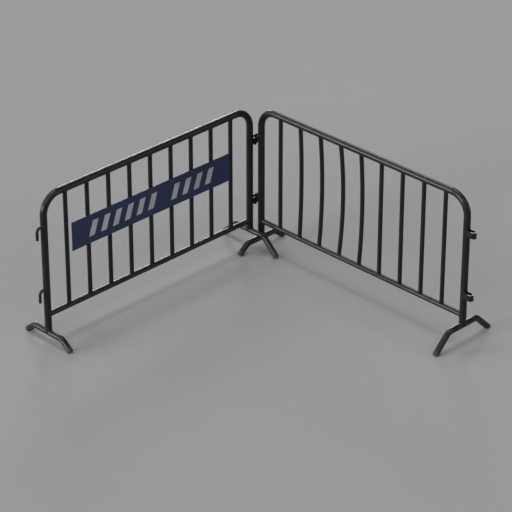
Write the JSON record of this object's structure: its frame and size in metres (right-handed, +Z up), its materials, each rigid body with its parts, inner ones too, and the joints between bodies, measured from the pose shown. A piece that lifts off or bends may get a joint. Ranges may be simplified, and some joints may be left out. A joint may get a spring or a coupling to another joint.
{
  "type": "pedestrian barrier",
  "caption": "Linked pair of steel tube crowd barrier panels with upright bars, arched feet and a sign board, hooked at a right-angled corner so that they swing.",
  "frame": {"origin": "on the floor, under the middle of the part's box", "axes": "+X along the left panel towards the corner, +Y along the right panel towards the corner, +Z up"},
  "size_m": [2.2857, 2.2986, 1.1],
  "materials": {
    "black_paint": "semi-gloss",
    "plug_black": "matte",
    "sign_blue": "painted, satin",
    "sign_grey": "satin film",
    "clip_zinc": "zinc-plated"
  },
  "bodies": {
    "left_panel": {"left_frame": "black_paint", "left_bottom_rail": "black_paint", "left_bar_1": "black_paint", "left_bar_2": "black_paint", "left_bar_3": "black_paint", "left_bar_4": "black_paint", "left_bar_5": "black_paint", "left_bar_6": "black_paint", "left_bar_7": "black_paint", "left_bar_8": "black_paint", "left_bar_9": "black_paint", "left_hook_upper": "black_paint", "left_hook_lower": "black_paint", "left_eye_upper": "black_paint", "left_eye_lower": "black_paint", "left_low_foot": "black_paint", "left_tall_foot": "black_paint", "left_foot_plugs": "plug_black", "sign_board": "sign_blue", "sign_stripes": "sign_grey", "sign_clips": "clip_zinc", "sign_rivets": "sign_blue"},
    "right_panel": {"right_frame": "black_paint", "right_bottom_rail": "black_paint", "right_bar_1": "black_paint", "right_bar_2": "black_paint", "right_bar_3": "black_paint", "right_bar_4": "black_paint", "right_bar_5": "black_paint", "right_bar_6": "black_paint", "right_bar_7": "black_paint", "right_bar_8": "black_paint", "right_bar_9": "black_paint", "right_hook_upper": "black_paint", "right_hook_lower": "black_paint", "right_eye_upper": "black_paint", "right_eye_lower": "black_paint", "right_low_foot": "black_paint", "right_tall_foot": "black_paint", "right_foot_plugs": "plug_black"}
  },
  "joints": [
    {"name": "corner_hinge", "type": "hinge", "parent": "left_panel", "child": "right_panel", "pos_m": [0.86316, 0.86965, 0], "axis": [0, 0, 1], "range_deg": [-9, 45]}
  ]
}
